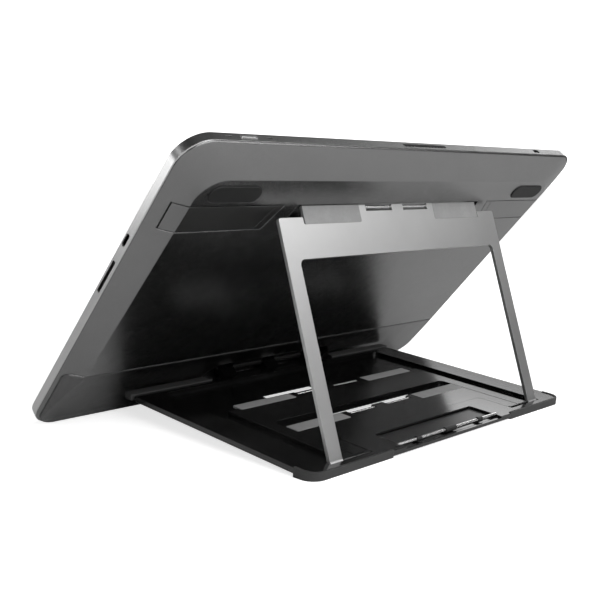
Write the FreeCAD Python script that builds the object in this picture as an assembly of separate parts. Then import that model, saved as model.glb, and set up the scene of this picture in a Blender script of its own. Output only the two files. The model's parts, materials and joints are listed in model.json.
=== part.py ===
"""Pen drawing tablet on its folding three-position stand, with the tablet leaning on the outer prop.

Frame: +X to the user's right, -Y to the user (the screen side), +Z up, millimetres, with the origin
under the middle of the whole object, on the table.

Three local frames are used. Tablet: x to the right, y up along the screen from its bottom edge, z out of
the screen, so the back is at negative z and "depth" means the distance behind the screen face. Stand:
x to the right, y to the rear from the stand's rear edge, so "reach" forward is -y, and z up from the
underside of the base plate. Prop: as the stand, lying flat in its recess.
"""
import FreeCAD
import Part
import math
import os

V = FreeCAD.Vector

# ---- tablet: outside --------------------------------------------------------------------------------
WIDTH, HEIGHT = 360.0, 235.0      # screen face
TILT = 47.0                       # screen face to the table, degrees
CORNER_R = 17.5
GLASS_T, GLASS_INSET, GLASS_GAP = 0.9, 0.6, 0.05
RIM_FRONT, RIM_DEPTH = 0.45, 6.0  # metal side frame, front and back edge behind the screen face
RIM_WALL, RIM_CHAMFER = 2.0, 0.4
BODY_DEPTH = 13.2                 # flat of the rear cover
SHELL_T = 1.3                     # wall of both covers

# The back rises from the rim to its flat in steps: share of the rise, then how far the outline has drawn
# in at the sides' top end, at the sides' bottom end, and at the top edge, then its corner radius.
DOME_STEPS = (
    (0.0, 0.4, 0.4, 0.4, 17.1),
    (0.38, 6.0, 4.6, 6.6, 16.6),
    (0.72, 12.0, 9.2, 13.2, 16.0),
    (1.0, 17.7, 13.4, 19.6, 15.5),
)

# ---- tablet: the thinner lower part of the back -----------------------------------------------------
RIDGE_Y = 56.8                    # from here the back slopes down to the bottom edge
EDGE_T = 0.6                      # what is left of the cover's thickness at the bottom edge
LOWER_HALF, LOWER_Y = 177.0, 1.3  # outline of the lower cover, set into the rear cover
LOWER_R_TOP, LOWER_R_LOW = 5.0, 14.5
COVER_GAP = 0.35

# ---- tablet: pockets, feet and legs in the back -----------------------------------------------------
POCKET_HALF_HIGH, POCKET_HALF_LOW = 86.8, 89.8
POCKET_LOW, POCKET_HIGH, POCKET_FLOOR = 181.5, 196.9, 8.6
POCKET_WALL = 1.0
CLIP_TOP, CLIP_BEND, CLIP_LOW, CLIP_FLOOR = 40.0, 31.5, 20.6, 3.55
CLIP_HALF_TOP, CLIP_HALF = 54.0, 60.0
CLIP_WALL = 0.75
FOOT_X0, FOOT_X1, FOOT_LOW, FOOT_HIGH = 120.7, 155.6, 200.0, 211.5
FOOT_SEAT, FOOT_PROUD, FOOT_EDGE = 12.0, 0.8, 0.45
LEG_LOW, LEG_HIGH, LEG_OUTER = 179.0, 196.6, 171.7
LEG_END_HIGH, LEG_END_LOW = 97.9, 104.3   # the bay's slanted inner end, at its upper and lower edge
LEG_FLOOR = 7.8                   # depth of the leg's inner face
LEG_AXIS_X, LEG_AXIS_DEPTH = 167.5, 9.6
LEG_GAP, LEG_WALL = 0.5, 0.9
LEG_SWING, LEG_SWING_DEPTH = 7.0, 4.9     # deeper end of the bay, where the leg's heel turns in
LEG_PIN_R = 0.9
CATCH_LONG, CATCH_GAP = 5.5, 0.3  # fixed catch between the leg's tip and the bay's slanted end

# ---- tablet: openings along the edges ---------------------------------------------------------------
USB_Y, USB_DEPTH, USB_LONG, USB_HIGH, USB_REACH = 163.0, 2.65, 8.6, 2.8, 7.4
USB_WALL, USB_END = 0.3, 0.8         # wall round the connector and behind it
USB_TONGUE_HALF, USB_TONGUE_T, USB_TONGUE_BACK = 3.3, 0.7, 1.6
CARD_LOW, CARD_HIGH, CARD_NEAR, CARD_FAR, CARD_REACH = 123.3, 147.3, 1.75, 4.1, 24.0
CARD_WALL, CARD_LID = 1.6, 0.6
VENT_X, VENT_LONG, VENT_NEAR, VENT_FAR = -1.2, 41.6, 2.0, 4.3
VENT_SLITS, VENT_END = 12, 2.0
LOCK_X, LOCK_LONG, LOCK_NEAR, LOCK_FAR = -128.2, 7.0, 1.4, 4.4
KEY_X, KEY_LONG, KEY_NEAR, KEY_FAR = 140.2, 11.4, 1.5, 4.3
KEY_TRAVEL, KEY_DEPTH, KEY_PROUD, KEY_RIDGE, KEY_GAP = 0.5, 2.2, 0.3, 0.25, 0.15
MARK_X, MARK_LONG, MARK_HIGH, MARK_DEPTH, MARK_CUT = (153.5, 126.3), 4.2, 0.9, 2.9, 1.5   # slits by the key
EDGE_CUT = 4.0                    # how far the openings are cut in from the edge

# ---- tablet: inside ---------------------------------------------------------------------------------
# flat pieces: x from, x to, y from, y to, depth from, depth to, corner radius
LAYERS = {
    "display_panel": (-148, 148, 30, 204, 0.95, 2.7, 1),
    "pen_sensor": (-147, 147, 44, 203, 2.75, 3.05, 1),
    "shield_plate": (-148, 148, 44, 204, 3.1, 3.45, 1),
    "heat_spreader": (-24, 34, 90, 172, 7.65, 8.5, 2),
    "port_board": (151, 175.5, 116, 172, 4.8, 5.9, 1),
    "display_driver_board": (-118, -66, 24, 50, 4.2, 5.4, 1),
    "ribbon_cable": (-82, -70, 50, 80, 5.0, 5.2, 0.3),
}
BOARD = (-75, 70, 66, 150, 5.2, 6.2, 2)
CHIPS = ((-20, 2, 96, 118, 1.4), (14, 30, 100, 116, 1.2), (-60, -44, 76, 88, 0.8), (-58, -46, 120, 134, 0.8))
SCREW_X, SCREW_Y, SCREW_R, SCREW_HIGH = (-70, 65), (71, 145), 1.6, 1.0
SPEAKER = (112, 142, 66, 80, 4.4, 10.2, 3)
FAN_Y, FAN_R, FAN_NEAR, FAN_FAR, FAN_WALL = 209.6, 7.9, 3.9, 9.4, 0.5
FAN_ROOM, FAN_CASE = 1.5, 11.4    # from the wheel to its chamber's wall, half width of the case
NOZZLE_FAR, NOZZLE_END = 7.0, 230.0
FAN_PIN_R, FAN_HUB_R, FAN_INLET_R = 1.0, 3.6, 5.6
BLADE_NEAR, POST_FAR, BLADE_FAR, HUB_FAR = 5.2, 8.2, 8.3, 8.7     # depths
FAN_BLADES, FAN_BLADE_T, FAN_SWEEP = 11, 0.6, 22.0

# ---- hinge between the tablet and the stand ---------------------------------------------------------
HINGE_UP, HINGE_DEPTH = 28.0, 6.3        # on the tablet
HINGE_REACH, HINGE_HEIGHT = 172.0, 7.0   # on the stand
KNUCKLE_R, HINGE_PIN_R = 2.4, 1.0
STAND_KNUCKLES = ((-46, -34), (-6, 6), (34, 46))
WEB_START, WEB_SHORT = 2.5, 3.8   # knuckle web: start in front of the plate, end short of the axis
WEB_FRONT, WEB_BACK = (2.0, 1.3), (1.4, 1.9)   # its corners on the barrel: (along, down) and (along, up)
CLIP_BARRELS = (6.4, 33.6)        # each of the clip's two barrels, out from the middle
CLIP_PLATE_LOW, CLIP_PLATE_DEPTH, CLIP_ARM_TOP, CLIP_ARM = 33.0, 6.6, 33.5, (4.4, 7.2)

# ---- stand: base ------------------------------------------------------------------------------------
BASE_HALF, BASE_REACH = 123.6, 160.5
PLATE_T = 3.2
FLOOR_T = 0.7                     # floor of the recess that takes the folded props
FOOT_LIFT = 1.0                   # underside of the plate above the table, at the rear edge
RECESS_HALF, RECESS_FRONT, RECESS_REAR, RECESS_R = 104.0, 154.5, 6.2, 4.0
ISLAND_HALF, ISLAND_REACH = 70.5, 33.0
NOTCH_HALF, NOTCH_REACH, NOTCH_LIP, NOTCH_LIP_T = 48.5, 24.9, 2.0, 2.0
SLOTS = ((4.5, 49.0, 115.5, 122.0), (-41.0, 41.0, 64.5, 71.0))   # see-through, x and reach spans
TONGUE_HALF, TONGUE_LOW = 46.0, 0.6
BUMPER_START, BUMPER_SIDE = 59.5, 14.8    # rubber corner: inner end and length along the side
BUMPER_LIP, BUMPER_TOP, BUMPER_UNDER = 1.6, 3.7, 9.5
REAR_CORNER_R, FRONT_CORNER_R = 9.0, 3.0
PAD_X0, PAD_X1, PAD_SLANT, PAD_FRONT = 59.0, 125.0, 3.5, 168.4
PAD_LOW, PAD_HIGH = 0.4, 4.1

# ---- stand: props -----------------------------------------------------------------------------------
PROP_T = 2.2
PROP_AXIS_REACH, PROP_AXIS_UP = 8.7, 1.95
PROP_RISE = 67.6                  # outer prop above the base plate, leaning forward, degrees
PIN_R, EYE_R, EYE_ROOM = 0.8, 1.6, 0.9
PIN_START, PIN_LONG, END_PLAY = 68.0, 38.5, 0.2
RUN = 0.05                        # radial clearance of a running fit
FIXED_FIT = 0.02                  # radial clearance of a pin or inlay that is held still
ROD_R, ROD_INNER, ROD_OUTER, ROD_GRIP, ROD_ROOM = 0.9, 5.4, 29.9, 1.2, 1.7
WINDOW_R = 3.5
INLAY_X, INLAY_DEEP, INLAY_PROUD = 35.8, 1.2, 0.1
# half width, shoulder, tongue half width, tip, window half width, window end, inlay start, rod centre
PROPS = {
    "outer": (103.0, 135.3, 83.3, 142.0, 93.3, 111.5, 131.2, 140.5),
    "middle": (92.4, 96.6, 83.0, 102.4, 82.6, 65.5, 93.4, 100.3),
    "inner": (81.9, 55.3, 81.9, 55.3, 71.2, 24.7, 45.0, 52.6),
}

# ---- stand: rear flap -------------------------------------------------------------------------------
REAR_AXIS_REACH, REAR_AXIS_UP, REAR_ROD_R, REAR_ROD_HALF = 5.4, 2.95, 1.1, 49.8
FLAP_KNUCKLE_R = 1.75
FLAP_KNUCKLES = ((-33, -29), (-5.2, 5.2), (29, 33))
FLAP_WEB_UP = 0.35                # the knuckle webs stand above the flap
FLAP_HALF, FLAP_FRONT, FLAP_REAR, FLAP_LOW, FLAP_HIGH = 47.6, 24.2, 8.2, 0.9, 1.7

BIG = 400.0                       # longer than the object, for open-ended cuts
PAST = 1.0                        # how far a cut runs past a face

# ---- corner radii, trims and small fittings ----------------------------------------------------------
TRIM = 0.1                                # holds a face just clear of the one behind it
ROUND_END = 0.01                          # a round end's radius is this much under half its width
PITCH_PASSES = 20
PIN_HOLE_HALF, ROD_HOLE_HALF = 50.0, 60.0 # half lengths of the long bores
REAR_PAST, WINDOW_PAST = 5.0, 20.0        # how far the island and the windows run past the rear edge
NOTCH_R, NOTCH_LIP_WIDE, SLOT_R = 1.5, 1.6, 1.0
PAD_REAR_R, PAD_FRONT_R = 0.5, 1.5
PROP_R, TONGUE_R, FLAP_R = 1.5, 1.0, 1.2
INLAY_OUTER_R, INLAY_INNER_R = 1.2, 0.4
LEG_PIN_END, LEG_PIN_LONG = 1.1, 19.8
LEG_PIN_HOLE_END, LEG_PIN_HOLE_LONG, LEG_BORE_LONG = 1.2, 20.0, 30.0
USB_R, CARD_R, VENT_R, LOCK_R, KEY_CUT_R, MARK_R = 1.3, 0.4, 1.0, 0.8, 0.8, 0.3
USB_IN, USB_SHELL_R, USB_BORE_R = 0.5, 1.2, 0.95
KEY_R, KEY_RIDGE_IN, KEY_RIDGE_HALF, KEY_RIDGE_R = 0.65, 1.0, 0.4, 0.35
SWITCH_HALF, SWITCH_TALL, SWITCH_NEAR, SWITCH_FAR = 5.0, 4.7, 1.4, 4.6
PLUNGER_R, PLUNGER_LONG = 0.9, 0.6
GRILLE_NEAR, GRILLE_FAR, GRILLE_R = 0.7, 1.9, 0.9
SLIT_HALF, SLIT_IN, SLIT_DEEP, SLIT_R = 1.0, 0.6, 3.0, 0.3
LOCK_BOX_HALF, LOCK_BOX_DEEP, LOCK_BOX_WALL = 5.0, 7.0, 1.0
LOCK_BOX_NEAR, LOCK_BOX_FAR, LOCK_HOLLOW_NEAR, LOCK_HOLLOW_FAR = 0.95, 5.2, 1.3, 4.6
FAN_CASE_R, FAN_ROOT, FAN_MIDDLE = 2.0, 0.5, 7.0


# ---- small tools ------------------------------------------------------------------------------------
def block(x0, x1, y0, y1, z0, z1):
    """A box between two corners, given in any order."""
    low = V(min(x0, x1), min(y0, y1), min(z0, z1))
    return Part.makeBox(abs(x1 - x0), abs(y1 - y0), abs(z1 - z0), low)


def rod(radius, start, along, length):
    return Part.makeCylinder(radius, length, V(*start), V(*along))


def rod_x(radius, x0, x1, y, z):
    """A cylinder along X between two x positions."""
    return rod(radius, (x0, y, z), (1, 0, 0), x1 - x0)


def rounded_wire(corners, z=0.0):
    """A closed outline through (x, y, radius) corners, each rounded by a tangent arc."""
    points = [V(x, y, z) for x, y, _ in corners]
    count = len(corners)
    arcs = []
    for i, (_, _, radius) in enumerate(corners):
        here = points[i]
        back = (points[i - 1] - here).normalize()
        ahead = (points[(i + 1) % count] - here).normalize()
        half = back.getAngle(ahead) / 2
        reach = radius / math.tan(half)
        top = here + (back + ahead).normalize() * (radius / math.sin(half) - radius)
        arcs.append((here + back * reach, top, here + ahead * reach))
    edges = []
    for i, (start, top, end) in enumerate(arcs):
        if corners[i][2] > 0:
            edges.append(Part.Arc(start, top, end).toShape())
        edges.append(Part.makeLine(end, arcs[(i + 1) % count][0]))
    return Part.Wire(edges)


def prism(corners, z0, z1):
    """A straight-sided solid on a rounded outline."""
    return Part.Face(rounded_wire(corners, z0)).extrude(V(0, 0, z1 - z0))


def slab(x0, x1, y0, y1, z0, z1, radius):
    """A plate with rounded corners."""
    return prism([(x0, y0, radius), (x1, y0, radius), (x1, y1, radius), (x0, y1, radius)], z0, z1)


def layer(x0, x1, y0, y1, near, far, radius):
    """A plate in the tablet, between two depths."""
    return slab(x0, x1, y0, y1, -far, -near, radius)


def extruded(outline, x0, x1):
    """A solid from (y, z) corners, run along X."""
    wire = Part.makePolygon([V(x0, y, z) for y, z in outline + outline[:1]])
    return Part.Face(wire).extrude(V(x1 - x0, 0, 0))


def fuse(*shapes):
    joined = shapes[0]
    for shape in shapes[1:]:
        joined = joined.fuse(shape)
    return joined.removeSplitter()


def cut_all(shape, cutters):
    for cutter in cutters:
        shape = shape.cut(cutter)
    return shape


def mirror(shape):
    return shape.mirror(V(0, 0, 0), V(1, 0, 0))


def on_side(shape, side):
    """The shape as it is, or its mirror image for the left-hand side."""
    return shape if side > 0 else mirror(shape)


def both_sides(shape):
    """The shape and its mirror image across the middle, as separate solids."""
    return Part.makeCompound([shape, mirror(shape)])


def mirrored_outline(half):
    """A closed outline from its right-hand half, given from front to back."""
    return half + [(-x, y, radius) for x, y, radius in reversed(half)]


def chamfer_at(shape, z, size):
    """Chamfers the outline's edges that lie at one height."""
    flat = [e for e in shape.Edges if max(abs(e.BoundBox.ZMin - z), abs(e.BoundBox.ZMax - z)) < 1e-4]
    return shape.makeChamfer(size, flat)


# ---- where the local frames stand -------------------------------------------------------------------
def lowest_drop():
    """How far the tablet's lowest line, the bottom edge of its back, hangs under its own origin."""
    tilt = math.radians(TILT)
    return (RIM_DEPTH + EDGE_T) * math.cos(tilt) - RIM_CHAMFER * math.sin(tilt)


def stand_pitch():
    """The base plate's slope: its front is carried by the tablet, its rear stands on the rubber."""
    tilt = math.radians(TILT)
    hinge_z = lowest_drop() + HINGE_UP * math.sin(tilt) - HINGE_DEPTH * math.cos(tilt)
    pitch = 0.0
    for _ in range(PITCH_PASSES):
        pitch = math.asin((hinge_z - FOOT_LIFT - HINGE_HEIGHT * math.cos(pitch)) / HINGE_REACH)
    return pitch


def frames(pitch):
    """Placements of the stand and of the tablet."""
    tilt = math.radians(TILT)
    hinge_y = -HINGE_REACH * math.cos(pitch) + HINGE_HEIGHT * math.sin(pitch)
    tablet_y = hinge_y - HINGE_UP * math.cos(tilt) - HINGE_DEPTH * math.sin(tilt)
    front = tablet_y + RIM_FRONT * math.sin(tilt)
    centre = (front + BUMPER_TOP * math.sin(pitch)) / 2
    across = V(1, 0, 0)
    stand = FreeCAD.Placement(V(0, -centre, FOOT_LIFT), FreeCAD.Rotation(across, -math.degrees(pitch)))
    tablet = FreeCAD.Placement(V(0, tablet_y - centre, lowest_drop()), FreeCAD.Rotation(across, TILT))
    return stand, tablet


PITCH = stand_pitch()
STAND, TABLET = frames(PITCH)
PROP_PIVOT = V(0, -PROP_AXIS_REACH, PROP_AXIS_UP)
RAISED = FreeCAD.Placement(V(0, 0, 0), FreeCAD.Rotation(V(1, 0, 0), -PROP_RISE), PROP_PIVOT)


# ---- stand: base ------------------------------------------------------------------------------------
def base_outline(inset):
    """The plate's outline, set in by the rubber's thickness where the rubber wraps the rear corners."""
    side, start, length = BASE_HALF, BUMPER_START, BUMPER_SIDE
    return mirrored_outline([
        (side, -BASE_REACH, FRONT_CORNER_R), (side, -length, 0), (side - inset, -length, 0),
        (side - inset, -inset, REAR_CORNER_R - inset), (start, -inset, 0), (start, 0, 0)])


def recess():
    """The hollow for the folded props, less the island between the inner prop's legs."""
    hollow = slab(-RECESS_HALF, RECESS_HALF, -RECESS_FRONT, -RECESS_REAR, FLOOR_T, PLATE_T + PAST, RECESS_R)
    island = slab(-ISLAND_HALF, ISLAND_HALF, -ISLAND_REACH, REAR_PAST, FLOOR_T, PLATE_T + PAST, RECESS_R)
    eyes = block(ISLAND_HALF, RECESS_HALF, -RECESS_REAR, -PROP_AXIS_REACH - EYE_R - EYE_ROOM, -PAST, PLATE_T)
    return fuse(hollow.cut(island), eyes, mirror(eyes))


def notch():
    """The rear notch for the flap, with a low lip along the rear edge."""
    deep = slab(-NOTCH_HALF, NOTCH_HALF, -NOTCH_REACH, -NOTCH_LIP, FLOOR_T, PLATE_T + PAST, NOTCH_R)
    lip = block(-NOTCH_HALF, NOTCH_HALF, -NOTCH_LIP - NOTCH_LIP_WIDE, PAST, NOTCH_LIP_T, PLATE_T + PAST)
    return fuse(deep, lip)


def front_knuckle(x0, x1):
    """A web that climbs from the plate's front tongue to a barrel round the hinge pin."""
    near, far = BASE_REACH + WEB_START, HINGE_REACH - WEB_SHORT
    outline = [(-near, PLATE_T), (-near, TONGUE_LOW), (-far, TONGUE_LOW),
               (-HINGE_REACH - WEB_FRONT[0], HINGE_HEIGHT - WEB_FRONT[1]),
               (-HINGE_REACH + WEB_BACK[0], HINGE_HEIGHT + WEB_BACK[1])]
    return fuse(extruded(outline, x0, x1), rod_x(KNUCKLE_R, x0, x1, -HINGE_REACH, HINGE_HEIGHT))


def pin_holes():
    """Bores for the hinge pins, the rear rod's groove, and the prop pins on both sides."""
    prop = rod(PIN_R + FIXED_FIT, (PIN_START, -PROP_AXIS_REACH, PROP_AXIS_UP), (1, 0, 0), PIN_LONG)
    hinge = rod_x(HINGE_PIN_R + FIXED_FIT, -PIN_HOLE_HALF, PIN_HOLE_HALF, -HINGE_REACH, HINGE_HEIGHT)
    rear = rod_x(REAR_ROD_R + FIXED_FIT, -PIN_HOLE_HALF, PIN_HOLE_HALF, -REAR_AXIS_REACH, REAR_AXIS_UP)
    return [prop, mirror(prop), hinge, rear]


def base_plate():
    plate = prism(base_outline(BUMPER_LIP), 0, PLATE_T)
    tongue = block(-TONGUE_HALF, TONGUE_HALF, -BASE_REACH + PAST, -HINGE_REACH + WEB_SHORT, TONGUE_LOW,
                   PLATE_T)
    plate = fuse(plate, tongue, *[front_knuckle(*span) for span in STAND_KNUCKLES])
    slots = [slab(x0, x1, -far, -near, -PAST, PLATE_T, SLOT_R) for x0, x1, near, far in SLOTS]
    return cut_all(plate, [recess(), notch()] + slots + pin_holes())


def prop_pins():
    start = (PIN_START + END_PLAY, -PROP_AXIS_REACH, PROP_AXIS_UP)
    return both_sides(rod(PIN_R, start, (1, 0, 0), PIN_LONG - 2 * END_PLAY))


def hinge_pin():
    return rod_x(HINGE_PIN_R, -TONGUE_HALF, TONGUE_HALF, -HINGE_REACH, HINGE_HEIGHT)


def corner_bumper(side):
    """A rubber corner: a lip round the plate's edge and a foot under it, level with the table."""
    start, end, lip = BUMPER_START, BASE_HALF, BUMPER_LIP
    outer = prism([(start, -BUMPER_SIDE, 0), (end, -BUMPER_SIDE, 0), (end, 0, REAR_CORNER_R), (start, 0, 0)],
                  -FOOT_LIFT - PAST, BUMPER_TOP)
    inner = prism([(start - PAST, -BUMPER_SIDE - PAST, 0), (end - lip, -BUMPER_SIDE - PAST, 0),
                   (end - lip, -lip, REAR_CORNER_R - lip), (start - PAST, -lip, 0)], 0, BUMPER_TOP + PAST)
    hollow = block(start - PAST, end - BUMPER_UNDER, -BUMPER_SIDE - PAST, -BUMPER_UNDER, -BIG, PAST)
    table = block(-BIG, BIG, -BIG, BIG, -BIG, 0).transformed(STAND.inverse().toMatrix())
    return on_side(cut_all(outer, [inner, hollow, table]), side)


def front_pad(side):
    """A rubber bar along the plate's front edge, with a slanted inner end."""
    rear = -BASE_REACH - FIXED_FIT
    pad = prism([(PAD_X0, rear, PAD_REAR_R), (PAD_X1, rear, PAD_REAR_R), (PAD_X1, -PAD_FRONT, PAD_FRONT_R),
                 (PAD_X0 + PAD_SLANT, -PAD_FRONT, PAD_FRONT_R)], PAD_LOW, PAD_HIGH)
    return on_side(pad, side)


# ---- stand: props -----------------------------------------------------------------------------------
def prop_outline(half, shoulder, tongue, tip):
    """A prop's outline, with a narrower tongue past its shoulders if it has one."""
    y0 = -PROP_AXIS_REACH
    if tip > shoulder:
        return mirrored_outline([(half, y0, 0), (half, y0 - shoulder, PROP_R), (tongue, y0 - shoulder, 0),
                                 (tongue, y0 - tip, TONGUE_R)])
    return mirrored_outline([(half, y0, 0), (half, y0 - tip, PROP_R)])


def rod_window(side, tip, rod_at):
    """The notch in a tongue's front edge that a rod bridges, with the rod's seats at its ends."""
    y0 = -PROP_AXIS_REACH
    gap = block(side * ROD_INNER, side * ROD_OUTER, y0 - rod_at + ROD_R + ROD_ROOM, y0 - tip - PAST, -PAST,
                PLATE_T + PAST)
    start, end = ROD_INNER - ROD_GRIP - END_PLAY, ROD_OUTER + ROD_GRIP + END_PLAY
    seat = rod(ROD_R + FIXED_FIT, (side * start, y0 - rod_at, PROP_AXIS_UP), (side, 0, 0), end - start)
    return gap.fuse(seat)


def prop_inlay(side, tongue, tip, start, room=0.0):
    """A rubber inlay in the upper face of a prop's tongue, or with room its seat."""
    y0, top = -PROP_AXIS_REACH, PROP_AXIS_UP + PROP_T / 2
    past = PAST if room else 0.0
    rear, front = y0 - start + room, y0 - tip - past
    outer, inner = INLAY_X - room, tongue + past
    outline = [(outer, rear, INLAY_OUTER_R), (inner, rear, INLAY_OUTER_R), (inner, front, INLAY_INNER_R),
               (outer, front, INLAY_INNER_R)]
    inlay = prism(outline, top - INLAY_DEEP - room, top + INLAY_PROUD + past)
    return on_side(inlay, side)


def prop_frame(half, shoulder, tongue, tip, window, window_end, inlay_start, rod_at):
    """A U of two legs and a cross plate, with eyes on the hinge pins and a notched tongue."""
    y0, low, high = -PROP_AXIS_REACH, PROP_AXIS_UP - PROP_T / 2, PROP_AXIS_UP + PROP_T / 2
    plate = prism(prop_outline(half, shoulder, tongue, tip), low, high)
    plate = plate.cut(slab(-window, window, y0 - window_end, WINDOW_PAST, low - PAST, high + PAST, WINDOW_R))
    eyes = [rod_x(EYE_R, x, x + half - window, y0, PROP_AXIS_UP) for x in (window, -half)]
    plate = fuse(plate, *eyes)
    cutters = [rod_x(PIN_R + RUN, -half - PAST, half + PAST, y0, PROP_AXIS_UP)]
    for side in (1, -1):
        cutters += [rod_window(side, tip, rod_at), prop_inlay(side, tongue, tip, inlay_start, FIXED_FIT)]
    return cut_all(plate, cutters)


def prop_rods(rod_at):
    start = (ROD_INNER - ROD_GRIP, -PROP_AXIS_REACH - rod_at, PROP_AXIS_UP)
    return both_sides(rod(ROD_R, start, (1, 0, 0), ROD_OUTER - ROD_INNER + 2 * ROD_GRIP))


def prop_parts(name):
    """Frame, inlays and rods of one prop, lying flat."""
    _, _, tongue, tip, _, _, inlay_start, rod_at = PROPS[name]
    return {
        name + "_prop_frame": prop_frame(*PROPS[name]),
        name + "_prop_pads": both_sides(prop_inlay(1, tongue, tip, inlay_start)),
        name + "_prop_rods": prop_rods(rod_at),
    }


# ---- stand: rear flap -------------------------------------------------------------------------------
def rear_rod():
    return rod_x(REAR_ROD_R, -REAR_ROD_HALF, REAR_ROD_HALF, -REAR_AXIS_REACH, REAR_AXIS_UP)


def rear_flap():
    """A thin flap that lies in the rear notch and swings up on three knuckles."""
    flap = slab(-FLAP_HALF, FLAP_HALF, -FLAP_FRONT, -FLAP_REAR, FLAP_LOW, FLAP_HIGH, FLAP_R)
    for x0, x1 in FLAP_KNUCKLES:
        barrel = rod_x(FLAP_KNUCKLE_R, x0, x1, -REAR_AXIS_REACH, REAR_AXIS_UP)
        web = block(x0, x1, -REAR_AXIS_REACH, -FLAP_REAR - PAST, FLAP_LOW + FLAP_WEB_UP,
                    FLAP_HIGH + FLAP_WEB_UP)
        flap = fuse(flap, barrel, web)
    return flap.cut(rod_x(REAR_ROD_R + RUN, -ROD_HOLE_HALF, ROD_HOLE_HALF, -REAR_AXIS_REACH, REAR_AXIS_UP))


# ---- tablet: covers ---------------------------------------------------------------------------------
def dome_section(step, inset, rise):
    """One outline of the back, drawn in from the rim's."""
    share, side_high, side_low, top, radius = step
    low, high = WIDTH / 2 - side_low - inset, WIDTH / 2 - side_high - inset
    bottom, upper = RIM_CHAMFER + inset, HEIGHT - top - inset
    corners = [(-low, bottom), (low, bottom), (high, upper), (-high, upper)]
    return rounded_wire([(x, y, radius - inset) for x, y in corners], -RIM_DEPTH - share * rise)


def domed_back(inset):
    """The back as a solid: soft bevels up to a flat, cut by the slope of the thinner lower part."""
    flat = BODY_DEPTH - inset
    dome = Part.makeLoft([dome_section(step, inset, flat - RIM_DEPTH) for step in DOME_STEPS], True, False)
    drop = BODY_DEPTH - RIM_DEPTH - EDGE_T
    slant = inset * math.hypot(RIDGE_Y, drop) / RIDGE_Y
    start = -5.0
    low = -BODY_DEPTH + slant + drop * (RIDGE_Y - start) / RIDGE_Y
    above = [(RIDGE_Y, -BODY_DEPTH + slant), (start, low), (start, -BIG), (RIDGE_Y, -BIG)]
    return dome.cut(extruded(above, -BIG, BIG))


def lower_zone(gap):
    """The outline of the lower cover, grown by a gap, right through the back."""
    half, low, high = LOWER_HALF + gap, LOWER_Y - gap, RIDGE_Y + gap
    return prism(mirrored_outline([(half, low, LOWER_R_LOW + gap), (half, high, LOWER_R_TOP + gap)]), -BIG, 0)


def leg_outline(gap, shift=0.0):
    """The leg bay's outline on the +X side, grown by a gap, with its slanted end shifted outwards."""
    slant = (LEG_END_LOW - LEG_END_HIGH) / (LEG_HIGH - LEG_LOW)
    high, low = LEG_END_HIGH + shift - gap * (1 + slant), LEG_END_LOW + shift - gap * (1 - slant)
    return [(LEG_OUTER + gap, LEG_LOW - gap, 0), (LEG_OUTER + gap, LEG_HIGH + gap, 0),
            (high, LEG_HIGH + gap, 0), (low, LEG_LOW - gap, 0)]


def leg_rod(radius, start, length):
    """A rod on the right leg's hinge line."""
    return rod(radius, (LEG_AXIS_X, start, -LEG_AXIS_DEPTH), (0, 1, 0), length)


def leg_bay(gap):
    """The hollow that takes a folded leg, with a deeper part where its heel turns in."""
    shallow = prism(leg_outline(gap), -BIG, -LEG_FLOOR + gap)
    deep = block(LEG_AXIS_X - LEG_SWING, LEG_OUTER + gap, LEG_LOW - gap, LEG_HIGH + gap, -BODY_DEPTH,
                 -LEG_SWING_DEPTH)
    return fuse(shallow, deep)


def upper_pocket(gap):
    """The pocket that the props' tongues hook into, with slanted ends."""
    corners = mirrored_outline([(POCKET_HALF_LOW + gap, POCKET_LOW - gap, 0),
                                (POCKET_HALF_HIGH + gap, POCKET_HIGH + gap, 0)])
    return prism(corners, -BIG, -POCKET_FLOOR + gap)


def clip_pocket(gap):
    """The pocket in the lower cover round the hinge clip."""
    corners = mirrored_outline([(CLIP_HALF + gap, CLIP_LOW - gap, 0), (CLIP_HALF + gap, CLIP_BEND, 0),
                                (CLIP_HALF_TOP + gap, CLIP_TOP + gap, 0)])
    return prism(corners, -BIG, -CLIP_FLOOR + gap)


def foot_seat(gap):
    radius = (FOOT_HIGH - FOOT_LOW) / 2 + gap - ROUND_END
    return layer(FOOT_X0 - gap, FOOT_X1 + gap, FOOT_LOW - gap, FOOT_HIGH + gap, FOOT_SEAT - gap, BIG, radius)


def back_shell():
    """The whole back with its pockets, before it is parted into two covers."""
    outer = domed_back(0)
    shell = outer.cut(domed_back(SHELL_T))
    bay_wall, foot_wall = leg_bay(LEG_GAP + LEG_WALL), foot_seat(LEG_WALL)
    for wall in (upper_pocket(POCKET_WALL), bay_wall, mirror(bay_wall), foot_wall, mirror(foot_wall)):
        shell = shell.fuse(wall.common(outer))
    tub = block(-BIG, BIG, 0, RIDGE_Y, -RIM_DEPTH - TRIM, 0).fuse(outer)
    shell = shell.fuse(clip_pocket(CLIP_WALL).common(tub))
    bay, seat = leg_bay(LEG_GAP), foot_seat(FIXED_FIT)
    pin = leg_rod(LEG_PIN_R + FIXED_FIT, LEG_LOW - LEG_PIN_HOLE_END, LEG_PIN_HOLE_LONG)
    hollows = [upper_pocket(0), clip_pocket(0), bay, mirror(bay), seat, mirror(seat), pin, mirror(pin)]
    return cut_all(shell, hollows)


def largest(shape):
    return max(shape.Solids, key=lambda piece: piece.Volume)


def rear_cover(shell):
    return largest(shell.cut(lower_zone(COVER_GAP)))


def lower_cover(shell):
    return largest(shell.common(lower_zone(0)))


# ---- tablet: frame and edge fittings ----------------------------------------------------------------
def along_top(x0, x1, near, far, y0, y1, radius):
    """A rounded bar through the top edge, between two depths."""
    bar = slab(x0, x1, near, far, 0, y1 - y0, radius)
    bar.rotate(V(0, 0, 0), V(1, 0, 0), 90)
    bar.translate(V(0, y1, 0))
    return bar.mirror(V(0, 0, 0), V(0, 0, 1))


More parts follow.
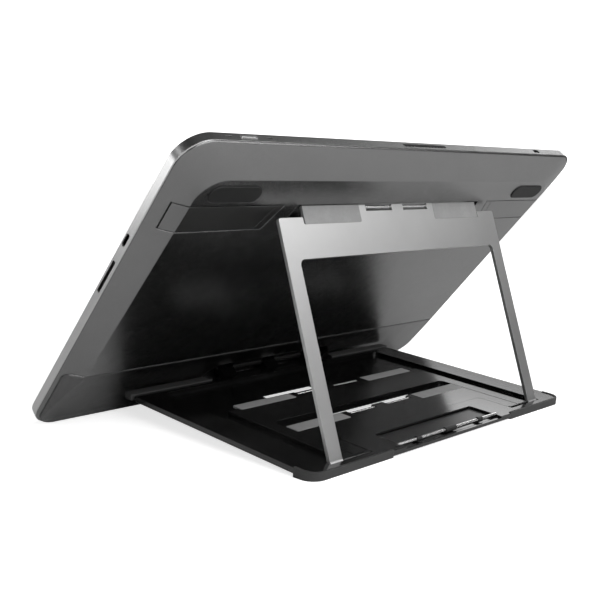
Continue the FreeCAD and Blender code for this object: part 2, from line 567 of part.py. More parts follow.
def along_side(y0, y1, near, far, x0, x1, radius):
    """A rounded bar through the right-hand edge, between two depths."""
    bar = slab(y0, y1, near, far, 0, x1 - x0, radius)
    bar.transformShape(FreeCAD.Matrix(0, 0, 1, x0, 1, 0, 0, 0, 0, -1, 0, 0, 0, 0, 0, 1))
    return bar


def edge_openings():
    """Every opening in the metal side frame."""
    inner, outer = WIDTH / 2 - EDGE_CUT, WIDTH / 2 + PAST
    cuts = [along_side(USB_Y - USB_LONG / 2, USB_Y + USB_LONG / 2, USB_DEPTH - USB_HIGH / 2,
                       USB_DEPTH + USB_HIGH / 2, inner, outer, USB_R),
            along_side(CARD_LOW, CARD_HIGH, CARD_NEAR, CARD_FAR, inner, outer, CARD_R)]
    for x, long, near, far, radius in ((VENT_X, VENT_LONG, VENT_NEAR, VENT_FAR, VENT_R),
                                       (LOCK_X, LOCK_LONG, LOCK_NEAR, LOCK_FAR, LOCK_R),
                                       (KEY_X, KEY_LONG, KEY_NEAR, KEY_FAR, KEY_CUT_R)):
        half = long / 2
        cuts.append(along_top(x - half, x + half, near, far, HEIGHT - EDGE_CUT, HEIGHT + PAST, radius))
    for x in MARK_X:
        cuts.append(along_top(x - MARK_LONG / 2, x + MARK_LONG / 2, MARK_DEPTH - MARK_HIGH / 2,
                              MARK_DEPTH + MARK_HIGH / 2, HEIGHT - MARK_CUT, HEIGHT + PAST, MARK_R))
    return cuts


def side_frame():
    """The metal rim: a ring with a seat for the glass and a chamfer along its back edge."""
    half = WIDTH / 2
    body = layer(-half, half, 0, HEIGHT, RIM_FRONT, RIM_DEPTH, CORNER_R)
    body = chamfer_at(body, -RIM_DEPTH, RIM_CHAMFER)
    inset = GLASS_INSET - GLASS_GAP
    seat = layer(-half + inset, half - inset, inset, HEIGHT - inset, -PAST, GLASS_T + FIXED_FIT,
                 CORNER_R - inset)
    hollow = layer(-half + RIM_WALL, half - RIM_WALL, RIM_WALL, HEIGHT - RIM_WALL, -PAST, RIM_DEPTH + PAST,
                   CORNER_R - RIM_WALL)
    return cut_all(body, [seat, hollow] + edge_openings())


def cover_glass():
    inset, half = GLASS_INSET, WIDTH / 2 - GLASS_INSET
    return layer(-half, half, inset, HEIGHT - inset, 0, GLASS_T, CORNER_R - inset)


def power_key():
    """The key in the top edge, with a raised middle ridge."""
    half, middle = KEY_LONG / 2 - KEY_GAP, (KEY_NEAR + KEY_FAR) / 2
    key = along_top(KEY_X - half, KEY_X + half, KEY_NEAR + KEY_GAP, KEY_FAR - KEY_GAP, HEIGHT - KEY_DEPTH,
                    HEIGHT + KEY_PROUD, KEY_R)
    ridge = along_top(KEY_X - half + KEY_RIDGE_IN, KEY_X + half - KEY_RIDGE_IN, middle - KEY_RIDGE_HALF,
                      middle + KEY_RIDGE_HALF, HEIGHT, HEIGHT + KEY_PROUD + KEY_RIDGE, KEY_RIDGE_R)
    return fuse(key, ridge)


def power_switch():
    """The switch under the key, with its button just short of the pressed key."""
    top = HEIGHT - KEY_DEPTH - KEY_TRAVEL - TRIM
    body = block(KEY_X - SWITCH_HALF, KEY_X + SWITCH_HALF, top - SWITCH_TALL, top - PLUNGER_LONG,
                 -SWITCH_FAR, -SWITCH_NEAR)
    depth = (KEY_NEAR + KEY_FAR) / 2
    return fuse(body, rod(PLUNGER_R, (KEY_X, top - PLUNGER_LONG, -depth), (0, 1, 0), PLUNGER_LONG))


def vent_grille():
    """A slotted plate in the vent opening."""
    half, edge = VENT_LONG / 2 - TRIM, TRIM
    plate = along_top(VENT_X - half, VENT_X + half, VENT_NEAR + edge, VENT_FAR - edge, HEIGHT - GRILLE_FAR,
                      HEIGHT - GRILLE_NEAR, GRILLE_R)
    pitch = (VENT_LONG - 2 * VENT_END) / VENT_SLITS
    for i in range(VENT_SLITS):
        x = VENT_X - VENT_LONG / 2 + VENT_END + pitch * (i + 0.5)
        plate = plate.cut(along_top(x - SLIT_HALF, x + SLIT_HALF, VENT_NEAR + SLIT_IN, VENT_FAR - SLIT_IN,
                                    HEIGHT - SLIT_DEEP, HEIGHT + PAST, SLIT_R))
    return plate


def lock_insert():
    """A steel box behind the lock slot."""
    outer = block(LOCK_X - LOCK_BOX_HALF, LOCK_X + LOCK_BOX_HALF, HEIGHT - LOCK_BOX_DEEP,
                  HEIGHT - RIM_WALL - GLASS_GAP, -LOCK_BOX_FAR, -LOCK_BOX_NEAR)
    half, deep = LOCK_BOX_HALF - LOCK_BOX_WALL, LOCK_BOX_DEEP - LOCK_BOX_WALL
    return outer.cut(block(LOCK_X - half, LOCK_X + half, HEIGHT - deep, HEIGHT, -LOCK_HOLLOW_FAR,
                           -LOCK_HOLLOW_NEAR))


def usb_shell():
    """The connector's metal shell, closed at its inner end."""
    long, high, wall = USB_LONG / 2 - TRIM, USB_HIGH / 2 - TRIM, USB_WALL
    shell = along_side(USB_Y - long, USB_Y + long, USB_DEPTH - high, USB_DEPTH + high, WIDTH / 2 - USB_REACH,
                       WIDTH / 2 - USB_IN, USB_SHELL_R)
    bore = along_side(USB_Y - long + wall, USB_Y + long - wall, USB_DEPTH - high + wall,
                      USB_DEPTH + high - wall, WIDTH / 2 - USB_REACH + USB_END, WIDTH / 2 + PAST, USB_BORE_R)
    return shell.cut(bore)


def usb_tongue():
    half, thin = USB_TONGUE_HALF, USB_TONGUE_T / 2
    return block(WIDTH / 2 - USB_REACH + USB_END + GLASS_GAP, WIDTH / 2 - USB_TONGUE_BACK, USB_Y - half,
                 USB_Y + half, -USB_DEPTH - thin, -USB_DEPTH + thin)


def card_reader():
    """The memory card's housing behind its slot."""
    back, wall, thin = WIDTH / 2 - CARD_REACH, CARD_WALL, CARD_LID
    outer = block(back, WIDTH / 2 - RIM_WALL - GLASS_GAP, CARD_LOW - wall, CARD_HIGH + wall, -CARD_FAR - thin,
                  -CARD_NEAR + thin)
    return outer.cut(block(back + wall, WIDTH / 2, CARD_LOW, CARD_HIGH, -CARD_FAR, -CARD_NEAR))


# ---- tablet: electronics ----------------------------------------------------------------------------
def main_board():
    """The main board with its chips."""
    back = -BOARD[5]
    chips = [block(x0, x1, y0, y1, back - high, back) for x0, x1, y0, y1, high in CHIPS]
    return fuse(layer(*BOARD), *chips)


def board_screws():
    head = -BOARD[5] - GLASS_GAP
    places = [(x, y, head) for x in SCREW_X for y in SCREW_Y]
    return Part.makeCompound([rod(SCREW_R, place, (0, 0, -1), SCREW_HIGH) for place in places])


def fan_housing():
    """A flat blower case with a thinner nozzle to the slot in the top edge, and a post for the wheel."""
    low, high, chamber = -FAN_FAR + FAN_WALL, -FAN_NEAR - FAN_WALL, FAN_R + FAN_ROOM
    half = FAN_CASE
    case = layer(VENT_X - half, VENT_X + half, FAN_Y - half, FAN_Y + half, FAN_NEAR, FAN_FAR, FAN_CASE_R)
    nozzle = block(VENT_X - chamber, VENT_X + chamber, FAN_Y, NOZZLE_END, -NOZZLE_FAR, -FAN_NEAR)
    hollow = rod(chamber, (VENT_X, FAN_Y, low), (0, 0, 1), high - low)
    half = chamber - FAN_WALL
    duct = block(VENT_X - half, VENT_X + half, FAN_Y, HEIGHT, -NOZZLE_FAR + FAN_WALL, high)
    inlet = rod(FAN_INLET_R, (VENT_X, FAN_Y, -FAN_FAR - PAST), (0, 0, 1), 2 * PAST)
    post = rod(FAN_PIN_R, (VENT_X, FAN_Y, -POST_FAR), (0, 0, 1), POST_FAR - FAN_NEAR - FAN_WALL / 2)
    return fuse(cut_all(fuse(case, nozzle), [hollow, duct, inlet]), post)


def fan_wheel():
    """A hub and swept-back blades on the housing's post."""
    root = FAN_HUB_R - FAN_ROOT
    blades = []
    for i in range(FAN_BLADES):
        blade = block(root, FAN_R, -FAN_BLADE_T / 2, FAN_BLADE_T / 2, -BLADE_FAR, -BLADE_NEAR)
        blade.rotate(V(root, 0, 0), V(0, 0, 1), -FAN_SWEEP)
        blade.rotate(V(0, 0, 0), V(0, 0, 1), 360.0 * i / FAN_BLADES)
        blade.translate(V(VENT_X, FAN_Y, 0))
        blades.append(blade)
    hub = rod(FAN_HUB_R, (VENT_X, FAN_Y, -HUB_FAR), (0, 0, 1), HUB_FAR - BLADE_NEAR + TRIM)
    bore = rod(FAN_PIN_R + RUN, (VENT_X, FAN_Y, -POST_FAR - END_PLAY), (0, 0, 1), POST_FAR)
    return fuse(hub, *blades).cut(bore)


# ---- tablet: clip, feet and legs --------------------------------------------------------------------
def front_clip():
    """The clip in the lower pocket: two wide barrels round the hinge pin, on a plate."""
    start, end = CLIP_BARRELS
    plate = block(-end, end, CLIP_PLATE_LOW, CLIP_TOP - TRIM, -CLIP_PLATE_DEPTH, -CLIP_FLOOR - FIXED_FIT)
    arm = block(start, end, HINGE_UP, CLIP_ARM_TOP, -CLIP_ARM[1], -CLIP_ARM[0])
    barrel = fuse(rod_x(KNUCKLE_R, start, end, HINGE_UP, -HINGE_DEPTH), arm)
    clip = fuse(plate, barrel, mirror(barrel))
    return clip.cut(rod_x(HINGE_PIN_R + RUN, -ROD_HOLE_HALF, ROD_HOLE_HALF, HINGE_UP, -HINGE_DEPTH))


def rear_feet():
    """Two rounded bars of rubber, slightly proud of the back, with a softened edge."""
    radius = (FOOT_HIGH - FOOT_LOW) / 2 - ROUND_END
    foot = layer(FOOT_X0, FOOT_X1, FOOT_LOW, FOOT_HIGH, FOOT_SEAT, BODY_DEPTH + FOOT_PROUD, radius)
    return both_sides(chamfer_at(foot, -BODY_DEPTH - FOOT_PROUD, FOOT_EDGE))


def leg_stretch(shift, floor):
    """What lies in the bay from a shifted slanted end outwards, flush with the back."""
    return prism(leg_outline(0, shift), -BIG, -floor).common(domed_back(0))


def fold_leg():
    """A flush leg that swings out about the pin at its outer end."""
    leg = leg_stretch(CATCH_LONG, LEG_FLOOR)
    return leg.cut(leg_rod(LEG_PIN_R + RUN, LEG_LOW - PAST, LEG_BORE_LONG))


def leg_catch():
    """The fixed catch at the bay's slanted end, seated on the bay's floor."""
    floor = LEG_FLOOR - LEG_GAP
    return leg_stretch(0, floor).cut(prism(leg_outline(PAST, CATCH_LONG + PAST - CATCH_GAP), -BIG, 0))


def leg_pins():
    return both_sides(leg_rod(LEG_PIN_R, LEG_LOW - LEG_PIN_END, LEG_PIN_LONG))


# ---- the whole object -------------------------------------------------------------------------------
def stand_nodes():
    nodes = {"base_plate": base_plate(), "prop_pins": prop_pins(), "hinge_pin": hinge_pin(),
             "rear_rod": rear_rod(), "rear_flap": rear_flap()}
    for name, side in (("right", 1), ("left", -1)):
        nodes["corner_bumper_" + name] = corner_bumper(side)
        nodes["front_pad_" + name] = front_pad(side)
    for name in PROPS:
        parts = prop_parts(name)
        if name == "outer":
            parts = {key: part.transformed(RAISED.toMatrix()) for key, part in parts.items()}
        nodes.update(parts)
    return nodes


def tablet_nodes():
    shell, leg, catch = back_shell(), fold_leg(), leg_catch()
    nodes = {
        "rear_cover": rear_cover(shell), "lower_cover": lower_cover(shell), "side_frame": side_frame(),
        "cover_glass": cover_glass(), "main_board": main_board(), "board_screws": board_screws(),
        "speakers": both_sides(layer(*SPEAKER)), "fan_housing": fan_housing(), "fan_wheel": fan_wheel(),
        "vent_grille": vent_grille(), "lock_insert": lock_insert(), "usb_shell": usb_shell(),
        "usb_tongue": usb_tongue(), "card_reader": card_reader(), "power_key": power_key(),
        "power_switch": power_switch(), "front_clip": front_clip(), "rear_feet": rear_feet(),
        "leg_pins": leg_pins(), "fold_leg_right": leg, "fold_leg_left": mirror(leg),
        "leg_catches": both_sides(catch),
    }
    nodes.update({name: layer(*sizes) for name, sizes in LAYERS.items()})
    return nodes


def print_frame():
    """Joint places and directions in the object's frame, in metres, for the record."""
    def at(frame, point):
        return [round(value, 6) for value in frame.multVec(V(*point)) * 0.001]

    def towards(frame, direction):
        return [round(value, 6) for value in frame.Rotation.multVec(V(*direction))]

    print("tablet hinge", at(STAND, (0, -HINGE_REACH, HINGE_HEIGHT)), at(TABLET, (0, HINGE_UP, -HINGE_DEPTH)))
    print("prop hinge", at(STAND, (0, -PROP_AXIS_REACH, PROP_AXIS_UP)))
    print("flap hinge", at(STAND, (0, -REAR_AXIS_REACH, REAR_AXIS_UP)))
    leg = (LEG_AXIS_X, (LEG_LOW + LEG_HIGH) / 2, -LEG_AXIS_DEPTH)
    print("leg hinge", at(TABLET, leg), towards(TABLET, (0, 1, 0)))
    print("fan", at(TABLET, (VENT_X, FAN_Y, -FAN_MIDDLE)), towards(TABLET, (0, 0, 1)))
    print("connector", at(TABLET, (WIDTH / 2, USB_Y, -USB_DEPTH)))
    print("lock slot", at(TABLET, (LOCK_X, HEIGHT, -(LOCK_NEAR + LOCK_FAR) / 2)))
    print("pitch", round(math.degrees(PITCH), 3), "stand", at(STAND, (0, 0, 0)))
    print("tablet", at(TABLET, (0, 0, 0)))


def main():
    os.makedirs("parts", exist_ok=True)
    for frame, nodes in ((STAND, stand_nodes()), (TABLET, tablet_nodes())):
        for name, shape in nodes.items():
            placed = shape.transformed(frame.toMatrix())
            placed.exportStep("parts/%s.step" % name)
            state = "ok" if placed.isValid() else "INVALID"
            print(name, len(placed.Solids), round(placed.Volume / 1000, 3), state)
    print_frame()


main()
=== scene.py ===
"""Looks for the pen drawing tablet on its folding stand.

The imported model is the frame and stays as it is. This script gives every node a procedural material and sets
up a plain pale studio. The solids hold every visible piece already, so it adds none but the floor.
"""
import bpy
import json
import math
from mathutils import Matrix, Vector


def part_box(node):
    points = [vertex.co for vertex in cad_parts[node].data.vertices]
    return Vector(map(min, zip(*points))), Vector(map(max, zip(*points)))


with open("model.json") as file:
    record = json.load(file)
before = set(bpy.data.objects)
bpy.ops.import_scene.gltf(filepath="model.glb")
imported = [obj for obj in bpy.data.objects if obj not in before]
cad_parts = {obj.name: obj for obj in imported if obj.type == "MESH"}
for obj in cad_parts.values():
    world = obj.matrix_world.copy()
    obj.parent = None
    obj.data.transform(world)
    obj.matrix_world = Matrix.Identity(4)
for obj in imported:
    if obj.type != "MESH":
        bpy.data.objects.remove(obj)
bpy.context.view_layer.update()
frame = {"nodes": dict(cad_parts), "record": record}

MM = 0.001

# ---- the object ------------------------------------------------------------------------------------------
TILT = math.radians(47.0)             # screen face to the table
PICTURE_MARGIN = 3 * MM               # from each end of the display panel to the picture
PICTURE_HALF_HIGH = 83 * MM
BACK = 0.25                           # grey of the back's paint, which the other paints are set against

# ---- camera: angles in degrees, place in metres ----------------------------------------------------------
LENS, SENSOR = 54.03, 36.0
CLIP_NEAR, CLIP_FAR = 0.01, 50.0
CAMERA_AZIMUTH, CAMERA_ELEVATION, CAMERA_ROLL = 135.266, 8.123, 0.862
CAMERA_PLACE = (0.43953, 0.40447, 0.15769)

# ---- soft boxes: azimuth (from +X towards +Y) and elevation in degrees, size in metres -------------------
BOX_DISTANCE, BOX_TARGET = 1.5, (0, 0, 0.08)
SOFT_BOXES = {
    "key_soft_box": dict(azimuth=98, elevation=43, width=2.3, height=0.95, radiance=3.4),
    "front_soft_box": dict(azimuth=86, elevation=15, width=1.3, height=0.50, radiance=1.9),
    "right_soft_box": dict(azimuth=2, elevation=24, width=1.1, height=0.46, radiance=1.4),
    "right_low_soft_box": dict(azimuth=315, elevation=8, width=0.75, height=0.40, radiance=2.1),
    "left_soft_box": dict(azimuth=204, elevation=24, width=1.0, height=0.46, radiance=1.7),
    "top_soft_box": dict(azimuth=285, elevation=62, width=0.75, height=0.50, radiance=0.5),
}

# ---- room and floor --------------------------------------------------------------------------------------
BACKDROP, ROOM, SEEN_WHITE = 0.52, 0.01, 1.2
BACKDROP_TOWARDS = (-0.707, -0.707, 0.0)
BACKDROP_SIDES = (0.25, 0.95)         # cosine to the backdrop's middle where it starts and is full
BACKDROP_TOP = (0.55, 0.78)           # height of the direction where it starts to fade and is gone
FLOOR_HALF = 8.0
FLOOR_GLOW = (0.72, 1.0)              # added white where the floor is looked at, near the object and far off
FLOOR_GLOW_REACH = (0.25, 0.6)        # distances from the object's middle between which it grows

# ---- worn edges, painted lighter as wear and as a painted highlight: cosine between a rounded edge's normal and its face's ---
WORN_AND_HIGHLIT_EDGE, PLAIN_FACE = 0.86, 0.995
EDGE_SAMPLES = 6


# ---- node helpers ----------------------------------------------------------------------------------------
class Shader:
    """One material's node tree, with a small vocabulary for the textures used here."""

    def __init__(self, name):
        self.material = bpy.data.materials.new(name)
        self.material.use_nodes = True
        self.tree = self.material.node_tree
        self.bsdf = self.tree.nodes["Principled BSDF"]
        self.place = self.add("ShaderNodeTexCoord").outputs["Object"]

    def add(self, kind, **settings):
        """A new node with some of its properties set."""
        node = self.tree.nodes.new(kind)
        for key, value in settings.items():
            setattr(node, key, value)
        return node

    def link(self, source, target):
        self.tree.links.new(source, target)

    def feed(self, socket, value):
        """Sets a socket to a number, or links another socket to it."""
        if isinstance(value, bpy.types.NodeSocket):
            self.link(value, socket)
        else:
            socket.default_value = value

    def math(self, operation, a, b=0.0):
        """One or two numbers or sockets through one operation."""
        node = self.add("ShaderNodeMath", operation=operation)
        self.feed(node.inputs[0], a)
        self.feed(node.inputs[1], b)
        return node.outputs[0]

    def spread(self, value, low, high, start=0.0, end=1.0):
        """Maps a value from start..end to low..high."""
        node = self.add("ShaderNodeMapRange", clamp=True)
        for socket, number in zip(node.inputs, (value, start, end, low, high)):
            self.feed(socket, number)
        return node.outputs[0]

    def stretched(self, scale):
        """The object's coordinates, scaled by a vector, for streaks along one direction."""
        node = self.add("ShaderNodeMapping")
        self.link(self.place, node.inputs["Vector"])
        node.inputs["Scale"].default_value = scale
        return node.outputs[0]

    def noise(self, scale, detail, rough, where=None):
        """Cloudy noise from 0 to 1."""
        node = self.add("ShaderNodeTexNoise")
        self.link(where or self.place, node.inputs["Vector"])
        node.inputs["Scale"].default_value = scale
        node.inputs["Detail"].default_value = detail
        node.inputs["Roughness"].default_value = rough
        return node.outputs["Fac"]

    def pits(self, scale):
        """Distance to the nearest of many scattered points."""
        node = self.add("ShaderNodeTexVoronoi")
        self.link(self.place, node.inputs["Vector"])
        node.inputs["Scale"].default_value = scale
        return node.outputs["Distance"]

    def soft_edge(self, radius):
        """Normals as if the edges were rounded by a radius."""
        node = self.add("ShaderNodeBevel", samples=EDGE_SAMPLES)
        node.inputs["Radius"].default_value = radius
        return node.outputs["Normal"]

    def edge_mask(self, radius):
        """1 along the solid's edges, 0 on its faces."""
        rounded = self.soft_edge(radius)
        flat = self.add("ShaderNodeNewGeometry").outputs["Normal"]
        dot = self.add("ShaderNodeVectorMath", operation="DOT_PRODUCT")
        self.link(rounded, dot.inputs[0])
        self.link(flat, dot.inputs[1])
        return self.spread(dot.outputs["Value"], 1.0, 0.0, WORN_AND_HIGHLIT_EDGE, PLAIN_FACE)

    def bump(self, height, depth, normal=None):
        """Bump of a real depth in metres."""
        node = self.add("ShaderNodeBump")
        node.inputs["Strength"].default_value = 1.0
        node.inputs["Distance"].default_value = depth
        self.link(height, node.inputs["Height"])
        if normal is not None:
            self.link(normal, node.inputs["Normal"])
        return node.outputs["Normal"]

    def tint(self, factor, low, high):
        """A colour between two greys or colours."""
        node = self.add("ShaderNodeMix", data_type="RGBA")
        colours = [socket for socket in node.inputs if socket.type == "RGBA"]
        self.feed(node.inputs[0], factor)
        for socket, colour in zip(colours, (low, high)):
            if isinstance(colour, bpy.types.NodeSocket):
                self.link(colour, socket)
            else:
                socket.default_value = rgba(colour)
        return next(socket for socket in node.outputs if socket.type == "RGBA")

    def finish(self, colour, roughness, normal):
        """Joins the three to the shader and hands over the material."""
        self.link(colour, self.bsdf.inputs["Base Color"])
        self.feed(self.bsdf.inputs["Roughness"], roughness)
        self.link(normal, self.bsdf.inputs["Normal"])
        return self.material


def rgba(colour):
    """A grey or a colour as four numbers."""
    if isinstance(colour, (int, float)):
        return (colour, colour, colour, 1.0)
    return tuple(colour[:3]) + (1.0,)


# ---- materials: noise scales per metre, bump depths in metres, edge radii in millimetres -----------------
def satin_metal(name, grey, rough, grain=5200.0, depth=3e-6, edge_wear_and_highlight=1.5, metallic=1.0, edge=0.18, smudge=0.012,
                specular=0.5, soft=None):
    """Bead-blasted or coated metal: fine grain, faint cloudiness and handling marks, and edges painted
    lighter, partly as wear and partly as a painted highlight along the rounded edges.
    """
    shader = Shader(name)
    shader.bsdf.inputs["Metallic"].default_value = metallic
    shader.bsdf.inputs["Specular IOR Level"].default_value = specular
    cloud = shader.noise(scale=28.0, detail=4.0, rough=0.6)
    smear = shader.noise(scale=17.0, detail=4.0, rough=0.6)
    fine = shader.noise(scale=grain, detail=2.0, rough=0.7)
    paler, brightest, worn_and_highlight_share, gloss_spread = 0.03, 0.95, 0.7, 0.03
    clouded = shader.spread(cloud, 0.0, 1.0, start=0.3, end=0.7)
    body = shader.tint(clouded, grey * (1 - paler), grey * (1 + paler))
    # edges painted lighter: partly real wear, partly a painted highlight along the rounded edges
    worn_and_highlit = shader.math("MULTIPLY", shader.edge_mask(edge * MM), worn_and_highlight_share)
    body = shader.tint(worn_and_highlit, body, min(grey * edge_wear_and_highlight, brightest))
    marks = shader.spread(smear, -smudge, smudge, start=0.35, end=0.65)
    gloss = shader.math("ADD", marks, shader.spread(fine, rough - gloss_spread, rough + gloss_spread))
    return shader.finish(body, gloss, shader.bump(fine, depth, shader.soft_edge((soft or edge) * MM)))


def rubber(name, grey, rough=0.62, edge=0.3):
    """Moulded rubber: a fine matt grain with a little dust in it, and edges painted lighter, partly as rubbing
    and partly as a painted highlight along the rounded edges.
    """
    shader = Shader(name)
    specular, rubbed_and_highlight_share, glossier, duller, grain_depth = 0.45, 0.45, 0.07, 0.08, 1.2e-5
    shader.bsdf.inputs["Specular IOR Level"].default_value = specular
    grain = shader.noise(scale=2600.0, detail=3.0, rough=0.65)
    dust = shader.noise(scale=160.0, detail=5.0, rough=0.7)
    clean, dusty, rubbed_and_highlit = grey * 0.96, grey * 1.1 + 0.002, grey * 2.2 + 0.02
    body = shader.tint(shader.spread(dust, 0.0, 1.0, start=0.42, end=0.75), clean, dusty)
    # edges painted lighter: partly rubbing, partly a painted highlight along the rounded edges
    body = shader.tint(shader.math("MULTIPLY", shader.edge_mask(edge * MM), rubbed_and_highlight_share), body, rubbed_and_highlit)
    return shader.finish(body, shader.spread(grain, rough - glossier, rough + duller),
                         shader.bump(grain, grain_depth, shader.soft_edge(edge * MM)))


def bright_steel(name):
    """Ground steel rod, with fine turning lines round it and a little tarnish."""
    shader = Shader(name)
    shader.bsdf.inputs["Metallic"].default_value = 1.0
    closer_along_x = (40.0, 1.0, 1.0)
    clean, tarnished, smoothest, roughest, line_depth, edge = 0.95, 0.90, 0.22, 0.30, 1e-6, 0.12
    lines = shader.noise(scale=300.0, detail=4.0, rough=0.7, where=shader.stretched(closer_along_x))
    tarnish = shader.noise(scale=220.0, detail=3.0, rough=0.6)
    body = shader.tint(shader.spread(tarnish, 0.0, 1.0, start=0.4, end=0.7), clean, tarnished)
    return shader.finish(body, shader.spread(lines, smoothest, roughest),
                         shader.bump(lines, line_depth, shader.soft_edge(edge * MM)))


def plastic(name, grey, rough=0.5):
    """Moulded plastic with a spark-eroded texture."""
    shader = Shader(name)
    grain = shader.noise(scale=3400.0, detail=2.0, rough=0.6)
    cloud = shader.noise(scale=60.0, detail=3.0, rough=0.6)
    darker, paler, gloss_spread, grain_depth, edge = grey * 0.85, grey * 1.2, 0.08, 8e-6, 0.15
    body = shader.tint(shader.spread(cloud, 0.0, 1.0, start=0.35, end=0.7), darker, paler)
    return shader.finish(body, shader.spread(grain, rough - gloss_spread, rough + gloss_spread),
                         shader.bump(grain, grain_depth, shader.soft_edge(edge * MM)))


def circuit(name):
    """Solder mask with fine copper tracks under it."""
    shader = Shader(name)
    tracks = shader.pits(scale=900.0)
    track_green, mask_green = (0.03, 0.14, 0.07), (0.012, 0.06, 0.035)
    smoothest, roughest, track_depth, edge = 0.25, 0.4, 2e-5, 0.1
    body = shader.tint(shader.spread(tracks, 0.0, 1.0, start=0.25, end=0.5), track_green, mask_green)
    return shader.finish(body, shader.spread(tracks, smoothest, roughest),
                         shader.bump(tracks, track_depth, shader.soft_edge(edge * MM)))


def screen(name):
    """Etched glass over a dark panel: a black border and a slightly greyer picture area."""
    shader = Shader(name)
    turn = shader.add("ShaderNodeMapping", vector_type="POINT")
    shader.link(shader.place, turn.inputs["Vector"])
    turn.inputs["Rotation"].default_value = (-TILT, 0, 0)
    split = shader.add("ShaderNodeSeparateXYZ")
    shader.link(turn.outputs[0], split.inputs[0])
    panel_low, panel_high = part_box("display_panel")
    middle = Matrix.Rotation(-TILT, 3, "X") @ ((panel_low + panel_high) / 2)
    half_x = (panel_high.x - panel_low.x) / 2 - PICTURE_MARGIN
    in_x = shader.math("LESS_THAN", shader.math("ABSOLUTE", split.outputs["X"]), half_x)
    off = shader.math("ABSOLUTE", shader.math("SUBTRACT", split.outputs["Y"], middle.y))
    picture = shader.math("MULTIPLY", in_x, shader.math("LESS_THAN", off, PICTURE_HALF_HIGH))
    etch = shader.noise(scale=5200.0, detail=2.0, rough=0.6)
    smear = shader.noise(scale=14.0, detail=5.0, rough=0.65)
    border, unlit_picture = 0.006, (0.016, 0.017, 0.020)
    smudge, smoothest, roughest, etch_depth, edge = 0.06, 0.20, 0.28, 1.5e-6, 0.3
    body = shader.tint(picture, border, unlit_picture)
    marks = shader.spread(smear, 0.0, smudge, start=0.45, end=0.7)
    gloss = shader.math("ADD", marks, shader.spread(etch, smoothest, roughest))
    return shader.finish(body, gloss, shader.bump(etch, etch_depth, shader.soft_edge(edge * MM)))


# each paint's edge factor lightens its edges, as wear and as a painted highlight along rounded edges
MATERIALS = {
    "back_paint": satin_metal("back_paint", BACK, rough=0.27, smudge=0.005, soft=1.0),
    "lower_paint": satin_metal("lower_paint", BACK * 0.65, rough=0.27, soft=4.0),
    "leg_paint": satin_metal("leg_paint", BACK * 0.95, rough=0.29),
    "rim_metal": satin_metal("rim_metal", 0.62, rough=0.28, grain=7000.0, depth=1e-6, edge_wear_and_highlight=1.0, edge=0.1),
    "screen_glass": screen("screen_glass"),
    "display_stack": plastic("display_stack", 0.02, rough=0.3),
    "circuit_board": circuit("circuit_board"),
    "shield_metal": satin_metal("shield_metal", 0.7, rough=0.3),
    "bright_steel": bright_steel("bright_steel"),
    "heat_spreader_copper": satin_metal("heat_spreader_copper", 0.5, rough=0.35),
    "ribbon_film": plastic("ribbon_film", 0.12, rough=0.35),
    "black_plastic": plastic("black_plastic", 0.02),
    "port_metal": satin_metal("port_metal", 0.05, rough=0.35),
    "key_metal": satin_metal("key_metal", 0.9, rough=0.3, grain=7000.0, depth=5e-7, edge_wear_and_highlight=1.0, edge=0.1),
    "clip_metal": satin_metal("clip_metal", 0.012, rough=0.32, metallic=0.0, edge_wear_and_highlight=3.0),
    "rubber_grey": rubber("rubber_grey", 0.009),
    "base_paint": satin_metal("base_paint", 0.003, rough=0.15, depth=1.5e-6, metallic=0.0, edge_wear_and_highlight=6.0,
                              specular=0.8),
    "flap_paint": satin_metal("flap_paint", 0.02, rough=0.34, metallic=0.0, edge_wear_and_highlight=3.0),
    "rubber_black": rubber("rubber_black", 0.045),
    "prop_metal": satin_metal("prop_metal", 0.52, rough=0.42, grain=1500.0, depth=1.6e-5, edge_wear_and_highlight=1.2),
    "pad_rubber": rubber("pad_rubber", 0.26, rough=0.5),
}


def dress_nodes():
    """Gives each CAD node the material of its slot in the record."""
    for part in frame["record"]["subparts"]:
        node = frame["nodes"][part["node"]]
        node.data.materials.clear()
        node.data.materials.append(MATERIALS[part["material_slot"]])


# ---- studio ----------------------------------------------------------------------------------------------
def soft_box(name, azimuth, elevation, width, height, radiance):
    """A soft box in one direction from the object, facing it, with an even radiance."""
    data = bpy.data.lights.new(name, "AREA")
    data.shape, data.size, data.size_y = "RECTANGLE", width, height
    data.energy = radiance * math.pi * width * height
    lamp = bpy.data.objects.new(name, data)
    turn, rise = math.radians(azimuth), math.radians(elevation)
    direction = Vector((math.cos(turn) * math.cos(rise), math.sin(turn) * math.cos(rise), math.sin(rise)))
    lamp.location = Vector(BOX_TARGET) + direction * BOX_DISTANCE
    lamp.rotation_euler = direction.to_track_quat("Z", "Y").to_euler()
    bpy.context.scene.collection.objects.link(lamp)


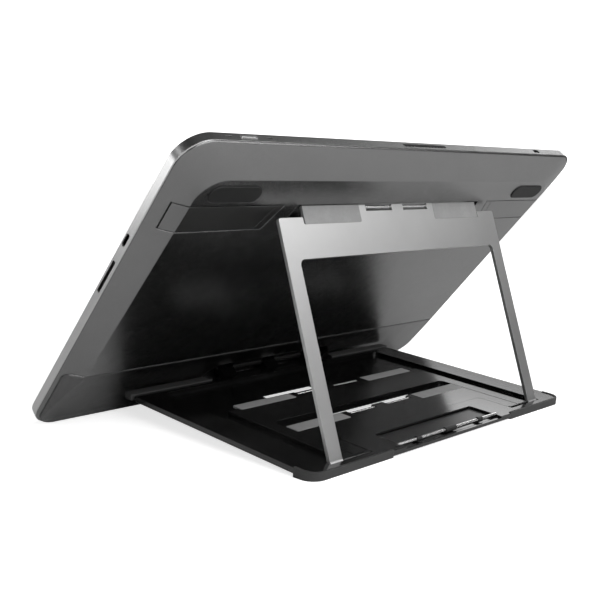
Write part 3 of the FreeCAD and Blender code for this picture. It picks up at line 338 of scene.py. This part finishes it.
def world_light():
    """White behind the object. For its reflections, one pale backdrop behind it and a dim room elsewhere."""
    world = bpy.data.worlds.new("studio")
    bpy.context.scene.world = world
    world.use_nodes = True
    tree = world.node_tree
    nodes, links = tree.nodes, tree.links
    coord = nodes.new("ShaderNodeTexCoord").outputs["Generated"]
    split = nodes.new("ShaderNodeSeparateXYZ")
    links.new(coord, split.inputs[0])
    facing = nodes.new("ShaderNodeVectorMath")
    facing.operation = "DOT_PRODUCT"
    facing.inputs[1].default_value = BACKDROP_TOWARDS
    links.new(coord, facing.inputs[0])

    def ramp(source, start, end, low, high):
        """A smooth rise or fall from low to high between start and end."""
        node = nodes.new("ShaderNodeMapRange")
        node.interpolation_type = "SMOOTHSTEP"
        # inputs 1 to 4 are From Min, From Max, To Min and To Max
        for socket, number in zip(list(node.inputs)[1:5], (start, end, low, high)):
            socket.default_value = number
        links.new(source, node.inputs[0])
        return node.outputs[0]

    def combine(operation, first, second):
        """Two sockets or numbers through one operation."""
        node = nodes.new("ShaderNodeMath")
        node.operation = operation
        for socket, value in zip(node.inputs, (first, second)):
            if isinstance(value, float):
                socket.default_value = value
            else:
                links.new(value, socket)
        return node.outputs[0]

    backdrop = combine("MULTIPLY", ramp(facing.outputs["Value"], *BACKDROP_SIDES, 0.0, BACKDROP),
                       ramp(split.outputs["Z"], *BACKDROP_TOP, 1.0, 0.0))
    room = combine("ADD", backdrop, ROOM)
    seen = nodes.new("ShaderNodeLightPath").outputs["Is Camera Ray"]
    strength = nodes["Background"].inputs["Strength"]
    links.new(combine("ADD", room, combine("MULTIPLY", seen, SEEN_WHITE)), strength)
    nodes["Background"].inputs["Color"].default_value = (1, 1, 1, 1)


def studio_floor():
    """Pale paper, bright where it is looked at."""
    mesh = bpy.data.meshes.new("floor")
    corners = [(x * FLOOR_HALF, y * FLOOR_HALF, 0) for x, y in ((-1, -1), (1, -1), (1, 1), (-1, 1))]
    mesh.from_pydata(corners, [], [(0, 1, 2, 3)])
    floor = bpy.data.objects.new("floor", mesh)
    bpy.context.scene.collection.objects.link(floor)
    paper = Shader("floor_paper")
    fibre = paper.noise(scale=420.0, detail=4.0, rough=0.6)
    darker, paler, specular = 0.80, 0.83, 0.1
    body = paper.tint(fibre, darker, paler)
    seen = paper.add("ShaderNodeLightPath").outputs["Is Camera Ray"]
    paper.bsdf.inputs["Emission Color"].default_value = (1, 1, 1, 1)
    far = paper.add("ShaderNodeVectorMath", operation="LENGTH")
    paper.link(paper.place, far.inputs[0])
    glow = paper.spread(far.outputs["Value"], *FLOOR_GLOW, *FLOOR_GLOW_REACH)
    paper.feed(paper.bsdf.inputs["Emission Strength"], paper.math("MULTIPLY", seen, glow))
    paper.bsdf.inputs["Specular IOR Level"].default_value = specular
    mesh.materials.append(paper.finish(body, roughness=0.8, normal=paper.bump(fibre, depth=2e-5)))


def add_camera():
    """The camera, at its place in the object's frame."""
    data = bpy.data.cameras.new("camera")
    data.sensor_width, data.lens = SENSOR, LENS
    data.clip_start, data.clip_end = CLIP_NEAR, CLIP_FAR
    camera = bpy.data.objects.new("camera", data)
    angles = (CAMERA_AZIMUTH, CAMERA_ELEVATION, CAMERA_ROLL)
    azimuth, elevation, roll = (math.radians(angle) for angle in angles)
    back = Vector((math.sin(azimuth) * math.cos(elevation), -math.cos(azimuth) * math.cos(elevation),
                   math.sin(elevation)))
    right = Vector((0, 0, 1)).cross(back).normalized()
    up = back.cross(right)
    turned_right = right * math.cos(roll) + up * math.sin(roll)
    turned_up = up * math.cos(roll) - right * math.sin(roll)
    place = Matrix((turned_right, turned_up, back)).transposed().to_4x4()
    place.translation = Vector(CAMERA_PLACE)
    camera.matrix_world = place
    bpy.context.scene.collection.objects.link(camera)
    bpy.context.scene.camera = camera


dress_nodes()
studio_floor()
world_light()
for name, settings in SOFT_BOXES.items():
    soft_box(name, **settings)
add_camera()
bpy.context.scene.view_settings.view_transform = "Standard"
